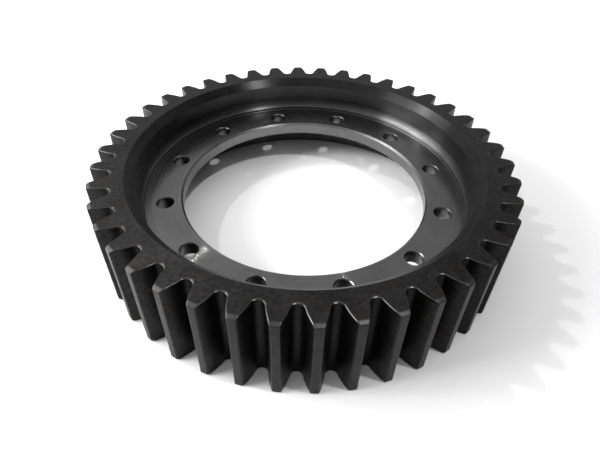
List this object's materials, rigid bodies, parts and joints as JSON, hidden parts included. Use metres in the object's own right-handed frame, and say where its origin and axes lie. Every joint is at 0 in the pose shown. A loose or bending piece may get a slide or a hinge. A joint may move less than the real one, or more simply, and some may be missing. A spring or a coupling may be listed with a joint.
{
  "type": "spur gear",
  "caption": "Wide straight-toothed gear ring with a deep recess in each face and a central drilled web with a large bore, bolted to a hub to carry heavy drive torque.",
  "frame": {"origin": "on the gear's axis, in the plane of the lower face", "axes": "+Z along the axis from the lower face to the upper face, +X through the middle of one tooth and midway between two bolt holes"},
  "size_m": [0.44, 0.4392, 0.0945],
  "materials": {
    "steel": "dark quenched and tempered steel on the teeth, rim and recess walls, brighter fine-turned steel on the web, bore and chamfers, lightly oiled"
  },
  "bodies": {
    "root": {"ring_gear": "steel"}
  },
  "joints": []
}
